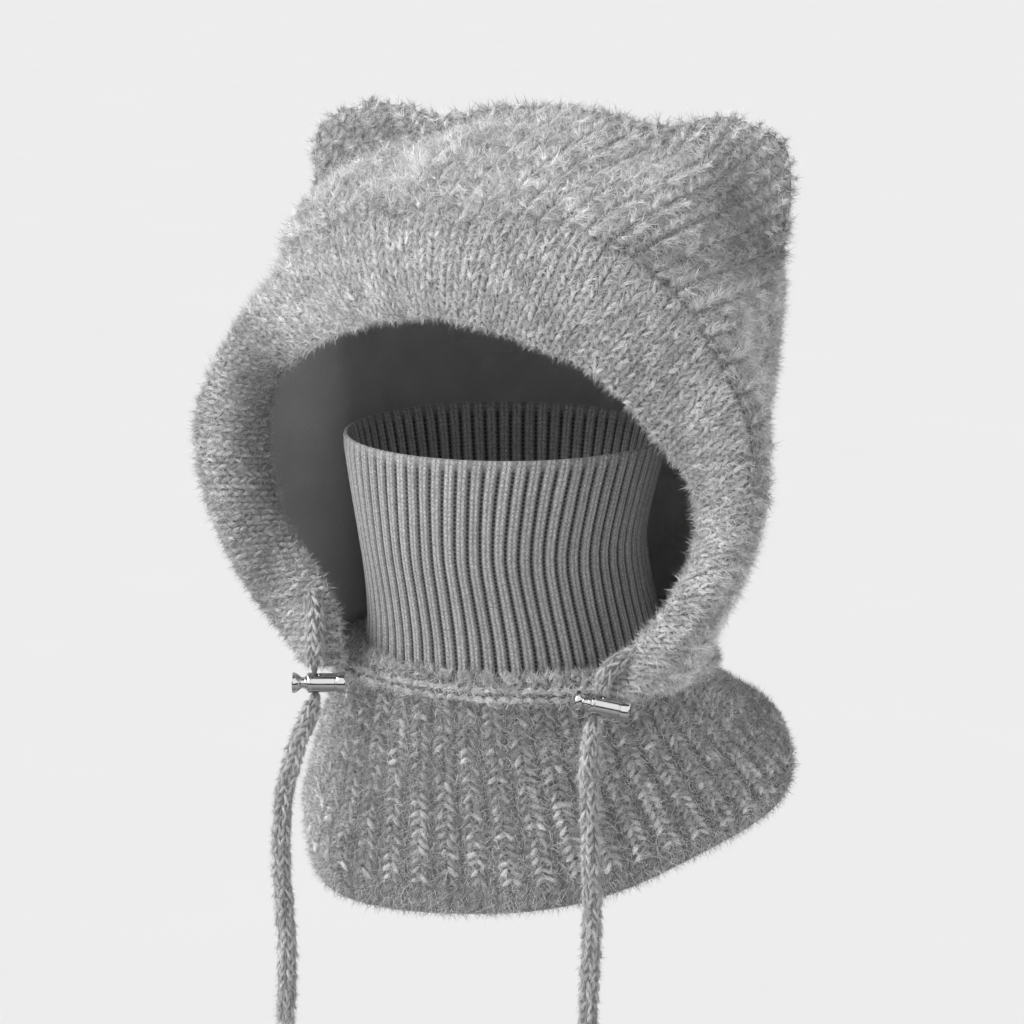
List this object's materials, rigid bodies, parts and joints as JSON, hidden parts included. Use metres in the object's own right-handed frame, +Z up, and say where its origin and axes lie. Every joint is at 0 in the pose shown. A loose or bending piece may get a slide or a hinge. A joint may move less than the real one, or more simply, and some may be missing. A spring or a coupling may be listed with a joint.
{
  "type": "hooded scarf",
  "caption": "Fuzzy knitted hood with cat ears, padded face band, inner ribbed neck gaiter, flared neck cape and a drawstring with metal cord locks.",
  "frame": {"origin": "the point under the crown of the lining that rests on top of the wearer's head", "axes": "+Z up, the face looks along -Y, +X to the wearer's left"},
  "size_m": [0.2769, 0.2699, 0.4309],
  "materials": {
    "fuzzy_knit": "brushed fuzzy yarn, mid grey melange",
    "band_knit": "brushed fuzzy rib, light grey melange",
    "rib_knit": "fine matt rib, mid grey",
    "lining_fleece": "smooth short fleece, dark grey",
    "cord_knit": "knitted round cord, mid grey",
    "polished_metal": "polished"
  },
  "bodies": {
    "root": {"hood_shell": "fuzzy_knit", "hood_lining": "lining_fleece", "face_band": "band_knit", "neck_gaiter": "rib_knit", "neck_cape": "fuzzy_knit", "drawstring_in_band": "cord_knit", "drawstring_left": "cord_knit", "drawstring_right": "cord_knit", "lock_barrel_left": "polished_metal", "lock_barrel_right": "polished_metal"},
    "plunger_left": {"lock_plunger_left": "polished_metal"},
    "plunger_right": {"lock_plunger_right": "polished_metal"}
  },
  "joints": [
    {"name": "press_left", "type": "slide", "parent": "root", "child": "plunger_left", "axis": [0.9272, 0.3746, 0], "range_m": [0, 0.0018], "stiffness_N_per_m": 400},
    {"name": "press_right", "type": "slide", "parent": "root", "child": "plunger_right", "axis": [0.9069, 0.3664, -0.2079], "range_m": [0, 0.0018], "stiffness_N_per_m": 400}
  ]
}
